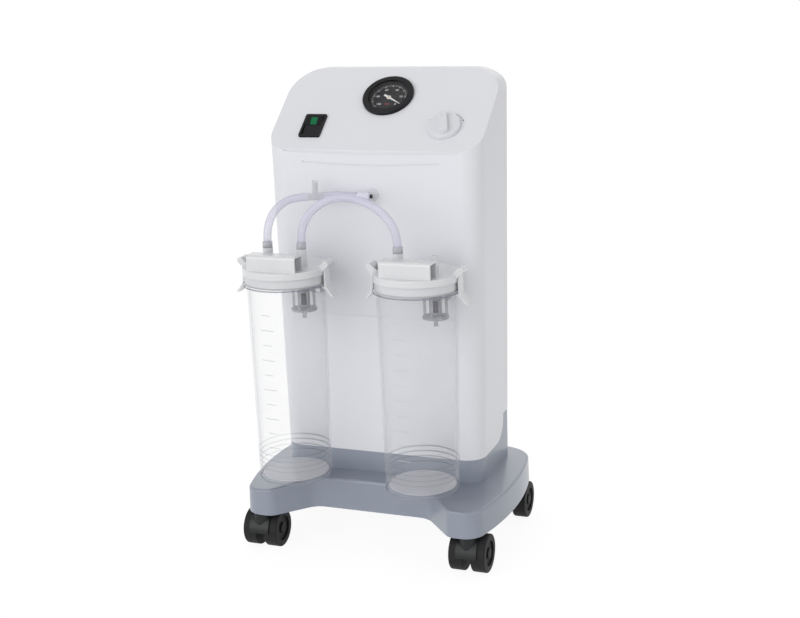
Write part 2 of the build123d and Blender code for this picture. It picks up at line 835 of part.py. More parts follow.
left_port = (-jar_x - port_x, jar_y, port_top_z)
arch_left = (-jar_x + port_x, jar_y, port_top_z)
arch_right = (jar_x - port_x, jar_y, port_top_z)
port_route = [
    (port_end_x, port_tip_y, port_fit_z),
    (port_end_x - 16.1, port_tip_y, port_fit_z),
    tuple(tee_right - tee_run * 16),
    tuple(tee_right),
]
left_route = [
    tuple(tee_left),
    tuple(tee_left + tee_run * 15.8),
    (-112.3, -74.4, 544.2),
    (-121.9, -87.6, 535.2),
    (-127.3, -100.6, 520.3),
    (left_port[0], jar_y, port_top_z + 20.2),
    left_port,
]
between_route = [
    arch_left,
    (arch_left[0], jar_y, port_top_z + 23),
    (-66, -106, 528),
    (-46, -104, 547),
    (-18, -103, 558),
    (13, -103, 556),
    (42, -104.5, 545),
    (63, -106, 527),
    (arch_right[0], jar_y, port_top_z + 23),
    arch_right,
]
save(hose(port_route, hose_d), "hose_port_to_tee")
save(hose(left_route, hose_d), "hose_tee_to_left_jar")
save(hose(between_route, hose_d), "hose_between_jars")


# Suction jars with their brackets, lids, seals, floats and latches
jar_step = collar_z + jar_wall
plug_r = collar_r - jar_wall - gap
lid_top = rim_z + lid_t
pivot_x = collar_r + latch_out
pivot_z = rim_z + latch_up
shelf_top = bracket_z + bracket_rise
lip_back_y = body_front_y - bracket_reach
bracket_holes = (bracket_w - 14, bracket_h - 11)


def jar(x):
    """Round jar with a stepped collar and a hook behind it."""
    inner_foot = (jar_bottom_r - jar_wall, jar_z + jar_floor)
    with BuildPart() as vessel:
        with BuildSketch(upright(x, jar_y)) as half:
            with BuildLine():
                Polyline(
                    (0, jar_z), (jar_bottom_r, jar_z), (jar_neck_r, collar_z),
                    (collar_r, collar_z), (collar_r, rim_z), (plug_r + gap, rim_z),
                    (plug_r + gap, jar_step), (jar_neck_r - jar_wall, jar_step),
                    inner_foot, (0, jar_z + jar_floor), close=True,
                )
            make_face()
            fillet(half.vertices().sort_by_distance((jar_bottom_r, jar_z))[0], jar_edge_r)
            fillet(half.vertices().sort_by_distance(inner_foot)[0], jar_edge_r - 2)
        revolve(axis=Axis((x, jar_y, 0), (0, 0, 1)))
        hook_front = lip_back_y + 0.4
        with BuildSketch(Plane.YZ.offset(x - hook_w / 2)):
            with BuildLine():
                Polyline(
                    (jar_y + jar_neck_r - 1, jar_step), (jar_y + jar_neck_r - 1, collar_z - 3),
                    (hook_front, collar_z - 3), (hook_front, shelf_top),
                    (hook_front + hook_t, shelf_top), (hook_front + hook_t, jar_step), close=True,
                )
            make_face()
        extrude(amount=hook_w)
    return vessel.part


def jar_bracket(x):
    """Bracket screwed to the housing: plate, shelf and up-turned lip."""
    with BuildPart() as bracket:
        with BuildSketch(front_face):
            with Locations((x, bracket_z + bracket_h / 2)):
                RectangleRounded(bracket_w, bracket_h, 4)
                with GridLocations(*bracket_holes, 2, 2):
                    Circle(screw_d / 2 + screw_fit, mode=Mode.SUBTRACT)
        extrude(amount=bracket_t)
        with BuildSketch(Plane.XY.offset(shelf_top)):
            with Locations((x, (body_front_y + lip_back_y - hook_t) / 2)):
                Rectangle(bracket_w, body_front_y - lip_back_y + hook_t)
        extrude(amount=-bracket_shelf_t)
        with BuildSketch(Plane.XY.offset(shelf_top)):
            with Locations((x, lip_back_y - hook_t / 2)):
                Rectangle(bracket_w, hook_t)
        extrude(amount=hook_drop - 1)
    return bracket.part


def lid(x, with_barb):
    """Lid with plug ring, finger grip, two ports and latch ears."""
    ear_y = latch_w / 2 + latch_gap + ear_t / 2
    with BuildPart() as cover:
        with BuildSketch(Plane.XY.offset(rim_z)):
            with Locations((x, jar_y)):
                Circle(collar_r)
        extrude(amount=lid_t)
        fillet(cover.edges().group_by(Axis.Z)[-1], lid_edge_r)
        with BuildSketch(Plane.XY.offset(rim_z)):
            with Locations((x, jar_y)):
                Circle(plug_r)
                Circle(plug_r - lid_plug_t, mode=Mode.SUBTRACT)
        extrude(amount=jar_step + seal_t - rim_z)
        with BuildSketch(sideways(x - grip_w / 2)) as grip:
            with Locations((jar_y - grip_front + grip_depth / 2, lid_top - 1)):
                Rectangle(grip_depth, grip_h + 1, align=(Align.CENTER, Align.MIN))
            fillet(grip.vertices().group_by(Axis.Y)[-1], 5)
            with Locations((jar_y - grip_front + grip_depth / 2, lid_top)):
                Rectangle(
                    grip_depth - 2 * grip_wall, grip_h - grip_wall,
                    align=(Align.CENTER, Align.MIN), mode=Mode.SUBTRACT,
                )
        extrude(amount=grip_w)
        with BuildSketch(Plane.XY.offset(lid_top - 1)):
            with Locations((x - port_x, jar_y)):
                Circle(port_boss_d / 2)
        extrude(amount=port_top_z - lid_top + 1)
        with BuildSketch(Plane.XY.offset(lid_top - 1)):
            with Locations((x + port_x, jar_y)):
                Circle(port_boss_d / 2 - (1.5 if with_barb else 0))
        extrude(amount=patient_port_len - 3 if with_barb else port_top_z - lid_top + 1)
        if with_barb:
            barb_z = lid_top + patient_port_len - 4
            with BuildSketch(Plane.XY.offset(barb_z)):
                with Locations((x + port_x, jar_y)):
                    Circle(patient_port_d / 2)
            extrude(amount=patient_port_len)
        with BuildSketch(Plane.XY.offset(rim_z)):
            with Locations((x - port_x, jar_y), (x + port_x, jar_y)):
                Circle(port_bore_d / 2)
        extrude(amount=port_top_z - rim_z, mode=Mode.SUBTRACT)
        for side in (-1, 1):
            for across in (-ear_y, ear_y):
                with BuildSketch(upright(x, jar_y + across)):
                    with Locations((side * pivot_x, pivot_z)):
                        Circle(latch_ring_r)
                    with Locations((side * (pivot_x - 9), lid_top - 3)):
                        Rectangle(6, 6)
                    make_hull()
                extrude(amount=ear_t / 2, both=True)
            with BuildSketch(upright(x + side * pivot_x, jar_y)):
                with Locations((0, pivot_z)):
                    Circle(latch_pin_d / 2 + seat_fit)
            extrude(amount=latch_w, both=True, mode=Mode.SUBTRACT)
    return cover.part


def latch(x, side):
    """Over-centre clip that hooks under the jar's collar."""
    face = collar_r + 0.7
    top = collar_z - gap
    low = top - latch_hook_t
    tail_z = collar_z - latch_tail_down - 2
    outline = [
        (face, pivot_z), (face, top), (face - latch_hook, top), (face - latch_hook + 1.5, low),
        (face + 0.5, low), (face + latch_tail_out, tail_z), (face + latch_tail_out + 3, tail_z + 1),
        (face + latch_t + 1, low + 2), (face + latch_t, top + 3), (face + latch_t, pivot_z),
    ]
    with BuildPart() as clip:
        with BuildSketch(upright(x, jar_y)):
            with BuildLine():
                Polyline(*[(side * across, up) for across, up in outline], close=True)
            make_face()
            with Locations((side * pivot_x, pivot_z)):
                Circle(latch_ring_r)
                Circle(latch_pin_d / 2 + run_fit, mode=Mode.SUBTRACT)
        extrude(amount=latch_w / 2, both=True)
    return clip.part


def float_cage(x):
    """Open cage of four bars below the port, with a guide hole underneath."""
    cage_foot = rim_z - cage_h
    with BuildPart() as cage:
        with BuildSketch(Plane.XY.offset(rim_z)):
            with Locations((x, jar_y)):
                Circle(cage_d / 2)
                Circle(port_boss_d / 2, mode=Mode.SUBTRACT)
        extrude(amount=-cage_plate)
        with BuildSketch(Plane.XY.offset(cage_foot)):
            with Locations((x, jar_y)):
                Circle(cage_d / 2)
                Circle(float_stem_d / 2 + run_fit, mode=Mode.SUBTRACT)
                with PolarLocations(cage_d / 4 + 1, 4, start_angle=45):
                    Circle(cage_bar, mode=Mode.SUBTRACT)
        extrude(amount=cage_plate)
        with BuildSketch(Plane.XY.offset(cage_foot + cage_plate)):
            with Locations((x, jar_y)):
                with PolarLocations(cage_d / 2 - cage_bar / 2 - 0.6, 4):
                    Circle(cage_bar / 2)
        extrude(amount=cage_h - 2 * cage_plate)
    return cage.part


def float_valve(x):
    """Float that rises and closes the port, on a guide stem."""
    foot = rim_z - cage_h + cage_plate + gap
    with BuildPart() as bob:
        with BuildSketch(Plane.XY.offset(foot)):
            with Locations((x, jar_y)):
                Circle(float_d / 2)
        extrude(amount=float_h)
        fillet(bob.edges(), 1.5)
        with BuildSketch(Plane.XY.offset(foot - float_lift - cage_plate)):
            with Locations((x, jar_y)):
                Circle(float_stem_d / 2)
        extrude(amount=float_lift + cage_plate + 2)
        with BuildSketch(Plane.XY.offset(foot + float_h - 1)):
            with Locations((x, jar_y)):
                Circle(float_stem_d / 2)
        extrude(amount=rim_z - foot - float_h - float_lift + 0.5)
    return bob.part


for side_name, x in jar_spots.items():
    save(jar(x), f"jar_{side_name}")
    save(jar_bracket(x), f"jar_bracket_{side_name}")
    save(lid(x, side_name == "right"), f"lid_{side_name}")
    save(latch(x, -1), f"latch_{side_name}_a")
    save(latch(x, 1), f"latch_{side_name}_b")
    save(float_cage(x + port_x), f"float_cage_{side_name}")
    save(float_valve(x + port_x), f"float_{side_name}")

with BuildPart() as lid_seals:
    with BuildSketch(Plane.XY.offset(jar_step)):
        for x in jar_spots.values():
            with Locations((x, jar_y)):
                Circle(plug_r)
                Circle(jar_neck_r - jar_wall + 0.7, mode=Mode.SUBTRACT)
    extrude(amount=seal_t)
save(lid_seals.part, "lid_seals")

with BuildPart() as latch_pins:
    pin_len = latch_w + 2 * (latch_gap + ear_t)
    for x in jar_spots.values():
        with BuildSketch(upright(x, jar_y)):
            with Locations((-pivot_x, pivot_z), (pivot_x, pivot_z)):
                Circle(latch_pin_d / 2)
        extrude(amount=pin_len / 2, both=True)
save(latch_pins.part, "latch_pins")

with BuildPart() as bracket_screws:
    for x in jar_spots.values():
        with BuildSketch(upright(0, body_front_y - bracket_t)):
            with Locations((x, bracket_z + bracket_h / 2)):
                with GridLocations(*bracket_holes, 2, 2):
                    Circle(screw_head_d / 2)
        extrude(amount=screw_head_h)
        with BuildSketch(upright(0, body_front_y - bracket_t)):
            with Locations((x, bracket_z + bracket_h / 2)):
                with GridLocations(*bracket_holes, 2, 2):
                    Circle(screw_d / 2)
        extrude(amount=-(bracket_t + 10))
save(bracket_screws.part, "bracket_screws")


# Casters: a hooded fork over twin wheels on one axle
def caster(name, x, y):
    """Hood with its stem, and the wheel pair with its axle."""
    axle = (y + trail, wheel_r)
    hood_inner = wheel_r + hood_gap
    hood_outer = hood_inner + hood_wall
    web_t = wheel_gap - 2 * gap
    with BuildPart() as hood:
        with BuildSketch(Plane.XY.offset(wheel_r + 12)):
            with Locations((x, y)):
                Circle(hood_hub_d / 2)
        extrude(amount=hood_outer - 12)
        for width, hollow in ((web_t, 0), (hood_w, hood_inner)):
            with BuildSketch(sideways(x)):
                with BuildLine():
                    rim = CenterArc(axle, hood_outer, 75, hood_sweep)
                    Polyline(rim @ 1, axle, rim @ 0)
                make_face()
                with Locations(axle):
                    Circle(hood_inner if hollow else axle_d, mode=Mode.SUBTRACT if hollow else Mode.ADD)
            extrude(amount=width / 2, both=True)
        for side in (-1, 1):
            with BuildSketch(sideways(x + side * web_t / 2)):
                with Locations(axle):
                    Circle(hood_inner)
            extrude(amount=side * hood_w, mode=Mode.SUBTRACT)
        with BuildSketch(sideways(x)):
            with Locations(axle):
                Circle(axle_d / 2 + run_fit)
        extrude(amount=hood_w, both=True, mode=Mode.SUBTRACT)
        with BuildSketch(Plane.XY.offset(wheel_r + hood_outer - 1)):
            with Locations((x, y)):
                Circle(stem_d / 2)
        extrude(amount=base_z + stem_len - wheel_r - hood_outer + 1)
    save(hood.part, f"caster_hood_{name}")

    with BuildPart() as wheels:
        for side in (-1, 1):
            inner_x = x + side * wheel_gap / 2
            outer_x = inner_x + side * wheel_w
            with BuildSketch(sideways(inner_x)):
                with Locations(axle):
                    Circle(wheel_r)
            extrude(amount=side * wheel_w)
            with BuildSketch(sideways(outer_x)):
                with Locations(axle):
                    Circle(wheel_dish_r)
                    Circle(axle_d, mode=Mode.SUBTRACT)
            extrude(amount=-side * wheel_dish, mode=Mode.SUBTRACT)
        rims = wheels.edges().filter_by(GeomType.CIRCLE).filter_by(lambda e: abs(e.radius - wheel_r) < 0.1)
        fillet(rims, wheel_edge)
        with BuildSketch(sideways(x)):
            with Locations(axle):
                Circle(axle_d / 2)
        extrude(amount=wheel_gap / 2 + wheel_w - 1, both=True)
    save(wheels.part, f"caster_wheels_{name}")


for name, (x, y) in caster_spots.items():
    caster(name, x, y)


# Vacuum pump on its chassis plate inside the housing
plate_top = post_top_z + chassis_t
pump_z = plate_top + mount_h
shaft_z = pump_z + case_h / 2
case_top = pump_z + case_h
with BuildPart() as chassis_plate:
    with BuildSketch(Plane.XY.offset(post_top_z)):
        with Locations((0, mid_y)):
            Rectangle(chassis_w, chassis_d)
            with GridLocations(2 * mount_x, 2 * mount_y, 2, 2):
                Circle(screw_d, mode=Mode.SUBTRACT)
    extrude(amount=chassis_t)
save(chassis_plate.part, "chassis_plate")

with BuildPart() as rubber_mounts:
    with BuildSketch(Plane.XY.offset(plate_top)):
        with Locations((0, mid_y)):
            with GridLocations(2 * mount_x, 2 * mount_y, 2, 2):
                Circle(mount_d / 2)
    extrude(amount=mount_h)
    chamfer(rubber_mounts.edges().group_by(Axis.Z)[-1], 1.5)
save(rubber_mounts.part, "rubber_mounts")

with BuildPart() as pump_body:
    with BuildSketch(sideways(0)):
        with Locations((mid_y, shaft_z)):
            Circle(motor_r)
    extrude(amount=motor_half, both=True)
    for side in (-1, 1):
        with BuildSketch(sideways(side * motor_half)) as case:
            with Locations((mid_y, pump_z + case_h / 2)):
                Rectangle(case_depth, case_h)
            fillet(case.vertices(), 8)
        extrude(amount=side * case_len)
    with BuildSketch(Plane.XY.offset(shaft_z)):
        with Locations((0, mid_y)):
            Rectangle(40, 24)
    extrude(amount=motor_r + 6)
    with BuildSketch(sideways(0)):
        with Locations((mid_y, shaft_z)):
            Circle(shaft_d / 2 + run_fit)
        with Locations((mid_y, shaft_z + motor_r + capacitor_d / 2)):
            Circle(capacitor_d / 2 + seat_fit)
    extrude(amount=motor_half + case_len + 1, both=True, mode=Mode.SUBTRACT)
save(pump_body.part, "pump_body")

with BuildPart() as pump_heads:
    for side in (-1, 1):
        middle = side * (motor_half + case_len / 2)
        with BuildSketch(Plane.XY.offset(case_top)):
            with Locations((middle, mid_y)):
                RectangleRounded(case_len - 4, head_depth, 5)
        extrude(amount=head_h)
        with BuildSketch(Plane.XY.offset(case_top + head_h)):
            with Locations((middle, mid_y)):
                with GridLocations(1, head_depth / head_fins, 1, head_fins - 1):
                    Rectangle(case_len, fin_gap)
        extrude(amount=-head_h / 3, mode=Mode.SUBTRACT)
        with BuildSketch(sideways(middle - side * (case_len / 2 - 2))):
            with Locations((mid_y, case_top + head_h / 3)):
                Circle(inner_hose_d / 2)
        extrude(amount=-side * 12)
save(pump_heads.part, "pump_heads")

with BuildPart() as pump_rotor:
    shaft_half = motor_half + case_len + shaft_end
    with BuildSketch(sideways(0)):
        with Locations((mid_y, shaft_z)):
            Circle(shaft_d / 2)
    extrude(amount=shaft_half, both=True)
    for side in (-1, 1):
        fan_x = side * (shaft_half - fan_t)
        with BuildSketch(sideways(fan_x)):
            with Locations((mid_y, shaft_z)):
                Circle(shaft_d)
                with PolarLocations(0, fan_blades):
                    with Locations((fan_r / 2, 0)):
                        Rectangle(fan_r - 2, 2.5)
        extrude(amount=side * fan_t)
save(pump_rotor.part, "pump_rotor")

with BuildPart() as capacitor:
    with BuildSketch(sideways(-capacitor_len / 2)):
        with Locations((mid_y, shaft_z + motor_r + capacitor_d / 2)):
            Circle(capacitor_d / 2)
    extrude(amount=capacitor_len)
save(capacitor.part, "capacitor")

# Mains inlet and fuse caps on the rear panel
with BuildPart() as mains_inlet:
    with BuildSketch(upright(0, rear_face_y)):
        with Locations((inlet_x, inlet_z)):
            RectangleRounded(inlet_w, inlet_h, 3)
    extrude(amount=-2)
    with BuildSketch(upright(0, rear_face_y)):
        with Locations((inlet_x, inlet_z)):
            Rectangle(inlet_w - 8 - 2 * seat_fit, inlet_h - 4 - 2 * seat_fit)
    extrude(amount=inlet_depth)
    with BuildSketch(upright(0, rear_face_y + 2)):
        with Locations((inlet_x, inlet_z)):
            Rectangle(inlet_w - 20, inlet_h - 10)
    extrude(amount=inlet_depth - 2, mode=Mode.SUBTRACT)
    with BuildSketch(upright(0, rear_face_y - inlet_depth + 1)):
        with Locations((inlet_x - 7, inlet_z - 2), (inlet_x, inlet_z + 2), (inlet_x + 7, inlet_z - 2)):
            Rectangle(2, 4)
    extrude(amount=-(inlet_depth - 5))
save(mains_inlet.part, "mains_inlet")

with BuildPart() as fuse_caps:
    for x in (fuse_x, fuse_x + fuse_pitch):
        with BuildSketch(upright(0, rear_face_y)):
            with Locations((x, inlet_z)):
                Circle(fuse_d / 2)
        extrude(amount=-4)
        with BuildSketch(upright(0, rear_face_y)):
            with Locations((x, inlet_z)):
                Circle(fuse_d / 2 - 1 - seat_fit)
        extrude(amount=inlet_depth)
        with BuildSketch(upright(0, rear_face_y + 4)):
            with Locations((x, inlet_z)):
                Rectangle(fuse_d - 4, 1.6)
        extrude(amount=1.5, mode=Mode.SUBTRACT)
save(fuse_caps.part, "fuse_caps")
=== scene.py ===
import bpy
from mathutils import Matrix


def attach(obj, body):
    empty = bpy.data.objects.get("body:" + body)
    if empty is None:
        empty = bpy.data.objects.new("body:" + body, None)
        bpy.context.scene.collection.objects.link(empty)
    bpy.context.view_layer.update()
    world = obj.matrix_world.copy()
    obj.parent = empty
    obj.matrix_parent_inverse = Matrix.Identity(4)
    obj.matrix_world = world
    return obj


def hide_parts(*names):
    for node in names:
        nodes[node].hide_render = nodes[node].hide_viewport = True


bl_info = {
    "name": "Vacuum aspirator",
    "version": (1, 0, 0),
    "blender": (4, 5, 0),
    "location": "View3D > Sidebar > Aspirator",
    "description": "Dresses the suction unit's frame with hoses, dial, marks and finishes",
    "category": "Object",
}

from math import cos, pi, radians, sin

import bmesh
import bpy
from bpy.props import FloatProperty, FloatVectorProperty, IntProperty, PointerProperty
from mathutils import Matrix, Vector

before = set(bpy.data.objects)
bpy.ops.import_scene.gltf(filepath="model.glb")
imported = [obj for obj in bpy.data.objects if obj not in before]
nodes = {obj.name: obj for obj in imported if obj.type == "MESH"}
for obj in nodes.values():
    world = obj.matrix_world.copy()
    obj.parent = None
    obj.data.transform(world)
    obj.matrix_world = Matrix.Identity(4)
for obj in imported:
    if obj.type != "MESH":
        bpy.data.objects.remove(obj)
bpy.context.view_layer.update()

# Places that the frame's source also states, in metres
JAR_X = 0.102
JAR_Y = -0.108
JAR_FOOT = 0.133
COLLAR_Z = 0.429
JAR_FOOT_R = 0.054
JAR_FLARE = 0.004
PORT_X = 0.027
PORT_TOP = 0.481
PORT_ARM = (-0.0134, -0.034, 0.5476)
PANEL_ORIGIN = Vector((0, -0.019, 0.613))
PANEL_SLOPE = radians(38.5)
PANEL_UP = Vector((0, cos(PANEL_SLOPE), sin(PANEL_SLOPE)))
PANEL_OUT = Vector((0, -sin(PANEL_SLOPE), cos(PANEL_SLOPE)))
GAUGE_V = 0.112
KNOB_U = 0.105
KNOB_V = 0.049

# The knob stands this many degrees on from the solid's own rest
KNOB_REST = 62

# Camera fitted to the photograph: metres, degrees and pixels
CAMERA_SPOT = (0.76031, -1.88067, 0.8814)
CAMERA_TURN = 21.13
CAMERA_PITCH = 14.22
CAMERA_ROLL = -1.92
FOCAL_PIXELS = 1374.5
PHOTO_WIDTH = 800
SENSOR = 36.0

# Print on the dial and beside the knob, metres from their centres
TICK_LONG_R = 0.0235
TICK_SHORT_R = 0.0252
TICK_OUTER_R = 0.0275
FIGURE_R = 0.0188
RED_INNER_R = 0.0118
RED_OUTER_R = 0.0142
ARC_INNER_R = 0.0288
ARC_OUTER_R = 0.0294
LENS_HALF_WIDTH = 0.0051

# Centre lines of the two long hoses, through the same points as the solids
LEFT_ROUTE = [
    (-0.08471, -0.05516, 0.548), (-0.09866, -0.06258, 0.548), (-0.1123, -0.0744, 0.5442),
    (-0.1219, -0.0876, 0.5352), (-0.1273, -0.1006, 0.5203), (-0.129, -0.108, 0.5012),
    (-0.129, -0.108, 0.481),
]
BETWEEN_ROUTE = [
    (-0.075, -0.108, 0.481), (-0.075, -0.108, 0.504), (-0.066, -0.106, 0.528),
    (-0.046, -0.104, 0.547), (-0.018, -0.103, 0.558), (0.013, -0.103, 0.556),
    (0.042, -0.1045, 0.545), (0.063, -0.106, 0.527), (0.075, -0.108, 0.504),
    (0.075, -0.108, 0.481),
]


class Signal:
    """One shader socket, whose arithmetic adds Math nodes."""

    def __init__(self, graph, socket):
        self.graph = graph
        self.socket = socket

    def _join(self, operation, first, second):
        return self.graph.add("ShaderNodeMath", {"operation": operation}, {0: first, 1: second})

    def __add__(self, other):
        return self._join("ADD", self, other)

    __radd__ = __add__

    def __sub__(self, other):
        return self._join("SUBTRACT", self, other)

    def __rsub__(self, other):
        return self._join("SUBTRACT", other, self)

    def __mul__(self, other):
        return self._join("MULTIPLY", self, other)

    __rmul__ = __mul__

    def __pow__(self, other):
        return self._join("POWER", self, other)


class Finish:
    """A material under construction, with one method for any node."""

    def __init__(self, name):
        self.material = bpy.data.materials.new(name)
        self.material.use_nodes = True
        self.tree = self.material.node_tree
        self.tree.nodes.clear()

    def add(self, kind, settings=None, inputs=None, output=0):
        node = self.tree.nodes.new(kind)
        for key, value in (settings or {}).items():
            setattr(node, key, value)
        for key, value in (inputs or {}).items():
            socket = node.inputs[key]
            if isinstance(value, Signal):
                self.tree.links.new(value.socket, socket)
            else:
                socket.default_value = value
        return Signal(self, node.outputs[output])

    def place(self):
        return self.add("ShaderNodeTexCoord", output=3)

    def noise(self, scale, detail=3.0, rough=0.5, vector=None):
        return self.add(
            "ShaderNodeTexNoise", {},
            {"Vector": vector or self.place(), "Scale": scale, "Detail": detail, "Roughness": rough},
        )

    def mix(self, factor, first, second):
        return self.add(
            "ShaderNodeMix", {"data_type": "RGBA"}, {0: factor, 6: first, 7: second}, output=2
        )

    def facing(self, blend):
        return self.add("ShaderNodeLayerWeight", {}, {"Blend": blend}, output=1)

    def bump(self, height, strength, distance):
        return self.add(
            "ShaderNodeBump", {}, {"Height": height, "Strength": strength, "Distance": distance}
        )

    def finish(self, shader):
        output = self.tree.nodes.new("ShaderNodeOutputMaterial")
        self.tree.links.new(shader.socket, output.inputs["Surface"])
        return self.material


def rgba(colour, scale=1.0):
    """Colour with full alpha, lighter or darker by scale."""
    return (colour[0] * scale, colour[1] * scale, colour[2] * scale, 1.0)


def moulded(name, colour, rough, grain=0.05, mottle=0.04, grain_scale=1400.0, coat=0.0, shine=0.5):
    """Moulded plastic: fine spark texture, faint mottling and handled patches."""
    look = Finish(name)
    broad = look.noise(9.0, 4.0, 0.6)
    fine = look.noise(grain_scale, 2.0, 0.5)
    base = look.mix(broad, rgba(colour, 1 - mottle), rgba(colour, 1 + mottle * 0.5))
    roughness = rough + (broad - 0.5) * 0.16
    shader = look.add("ShaderNodeBsdfPrincipled", {}, {
        "Base Color": base,
        "Roughness": roughness,
        "Specular IOR Level": shine,
        "Coat Weight": coat,
        "Coat Roughness": 0.12,
        "Normal": look.bump(fine, grain, 0.0003),
    })
    return look.finish(shader)


def clear_plastic(name, colour, body, edge, rough=0.08, power=2.0, dark=0.72, shine=0.5):
    """Clear plastic whose edges show: alpha rises where it is seen side on, and the colour falls there as
    painted shade for the dark edges that refraction gives.
    """
    look = Finish(name)
    broad = look.noise(22.0, 3.0, 0.5)
    facing = look.facing(0.32)
    alpha = body + (facing ** power) * edge + (broad - 0.5) * 0.04
    shader = look.add("ShaderNodeBsdfPrincipled", {}, {
        # Painted shade: the colour falls to the dark share of the tint where the plastic is seen side on.
        "Base Color": look.mix(facing ** power, rgba(colour), rgba(colour, dark)),
        "Specular IOR Level": shine,
        "Roughness": rough + (broad - 0.5) * 0.08,
        "Alpha": alpha,
        "Normal": look.bump(broad, 0.05, 0.0004),
    })
    return look.finish(shader)


def metal(name, colour, rough, streak=60.0):
    """Plain metal with fine drawn streaks and a few dull patches."""
    look = Finish(name)
    stretch = look.add("ShaderNodeMapping", {}, {"Vector": look.place(), "Scale": (1.0, 1.0, streak)})
    lines = look.noise(40.0, 4.0, 0.6, stretch)
    broad = look.noise(30.0)
    shader = look.add("ShaderNodeBsdfPrincipled", {}, {
        "Base Color": look.mix(lines, rgba(colour, 0.85), rgba(colour)),
        "Metallic": 1.0,
        "Roughness": rough + (broad - 0.5) * 0.2,
        "Normal": look.bump(lines, 0.05, 0.0002),
    })
    return look.finish(shader)


def rubber(name, colour, shine=0.25):
    """Dark tread: dull, with dust that gathers in the fine relief."""
    look = Finish(name)
    dust = look.noise(60.0, 5.0, 0.6)
    fine = look.noise(900.0)
    shader = look.add("ShaderNodeBsdfPrincipled", {}, {
        "Base Color": look.mix((dust ** 3.0) * 0.8, rgba(colour), rgba(colour, 3.2)),
        "Roughness": 0.62 + (dust - 0.5) * 0.3,
        "Specular IOR Level": shine,
        "Normal": look.bump(fine, 0.12, 0.0003),
    })
    return look.finish(shader)


def dress(material, *names):
    """Gives every named frame node the one material."""
    for name in names:
        mesh = nodes[name].data
        mesh.materials.clear()
        mesh.materials.append(material)


def reach(name, axis):
    """Least and greatest coordinate of a frame node along one of its own axes."""
    values = [corner[axis] for corner in nodes[name].bound_box]
    return min(values), max(values)


def smooth(names, angle=35.0):
    """Shades the nodes smooth up to an angle, so round walls look round."""
    for name in names:
        mesh = nodes[name].data
        mesh.shade_smooth()
        mesh.set_sharp_from_angle(angle=radians(angle))


def mesh_piece(name, build, material, body):
    """Object from a bmesh builder, in the row frame, riding on a body."""
    mesh = bpy.data.meshes.new(name)
    shape = bmesh.new()
    build(shape)
    shape.to_mesh(mesh)
    shape.free()
    piece = bpy.data.objects.new(name, mesh)
    bpy.context.scene.collection.objects.link(piece)
    mesh.materials.append(material)
    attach(piece, body)
    return piece


def on_panel(u, v, w):
    """Point on the sloped panel: u across, v up the slope, w out of it."""
    return PANEL_ORIGIN + Vector((u, 0, 0)) + PANEL_UP * v + PANEL_OUT * w


def jar_radius(z):
    """Outer radius of a jar's wall, which widens a little towards the collar."""
    return JAR_FOOT_R + JAR_FLARE * (z - JAR_FOOT) / (COLLAR_Z - JAR_FOOT)


def slab(shape, corners, depth):
    """Adds a thin closed slab under a loop of corners given in order."""
    top = [shape.verts.new(corner) for corner in corners]
    low = [shape.verts.new(Vector(corner) - depth) for corner in corners]
    shape.faces.new(top)
    shape.faces.new(reversed(low))
    for i in range(len(top)):
        j = (i + 1) % len(top)
        shape.faces.new((top[j], top[i], low[i], low[j]))


def lathe(shape, centre, profile, steps=72):
    """Adds a closed ring of revolution about the vertical through centre."""
    rings = []
    for i in range(steps):
        turn = 2 * pi * i / steps
        rings.append([
            shape.verts.new((centre[0] + r * cos(turn), centre[1] + r * sin(turn), z))
            for r, z in profile
        ])
    for i in range(steps):
        here = rings[i]
        after = rings[(i + 1) % steps]
        for j in range(len(profile)):
            k = (j + 1) % len(profile)
            shape.faces.new((here[j], after[j], after[k], here[k]))
    bmesh.ops.recalc_face_normals(shape, faces=shape.faces)
    for face in shape.faces:
        face.smooth = True


class AspiratorSizes(bpy.types.PropertyGroup):
    """Sizes of the dressed pieces."""

    hose_diameter: FloatProperty(
        name="Hose diameter", description="Outside diameter of the hoses",
        default=0.012, min=0.006, max=0.02, subtype="DISTANCE", unit="LENGTH")
    cuff_height: FloatProperty(
        name="Cuff height", description="Height of the sleeve at a hose's end",
        default=0.009, min=0.003, max=0.02, subtype="DISTANCE", unit="LENGTH")
    tick_count: IntProperty(
        name="Dial ticks", description="Number of fine divisions on the dial", default=50, min=10, max=100)
    graduation_step: FloatProperty(
        name="Graduation step", description="Height between two lines on a jar",
        default=0.0225, min=0.01, max=0.05, subtype="DISTANCE", unit="LENGTH")


class AspiratorColours(bpy.types.PropertyGroup):
    """Colours of the finishes."""

    housing: FloatVectorProperty(
        name="Housing", description="Satin white of the housing",
        default=(0.76, 0.765, 0.80), size=3, min=0, max=1, subtype="COLOR")
    tray: FloatVectorProperty(
        name="Tray", description="Blue-grey of the base tray",
        default=(0.262, 0.293, 0.355), size=3, min=0, max=1, subtype="COLOR")
    lid: FloatVectorProperty(
        name="Lid", description="White of the lids and latches",
        default=(0.71, 0.72, 0.735), size=3, min=0, max=1, subtype="COLOR")
    hose: FloatVectorProperty(
        name="Hose", description="Lavender tint of the hoses",
        default=(0.70, 0.69, 0.83), size=3, min=0, max=1, subtype="COLOR")
    jar: FloatVectorProperty(
        name="Jar", description="Cool tint of the jars",
        default=(0.66, 0.68, 0.73), size=3, min=0, max=1, subtype="COLOR")
    lamp: FloatVectorProperty(
        name="Switch lens", description="Green of the lit switch",
        default=(0.003, 0.095, 0.034), size=3, min=0, max=1, subtype="COLOR")
    black: FloatVectorProperty(
        name="Black", description="Near black of switch, gauge and casters",
        default=(0.008, 0.008, 0.010), size=3, min=0, max=1, subtype="COLOR")


def sizes():
    return bpy.context.scene.aspirator_sizes


def colours():
    return bpy.context.scene.aspirator_colours


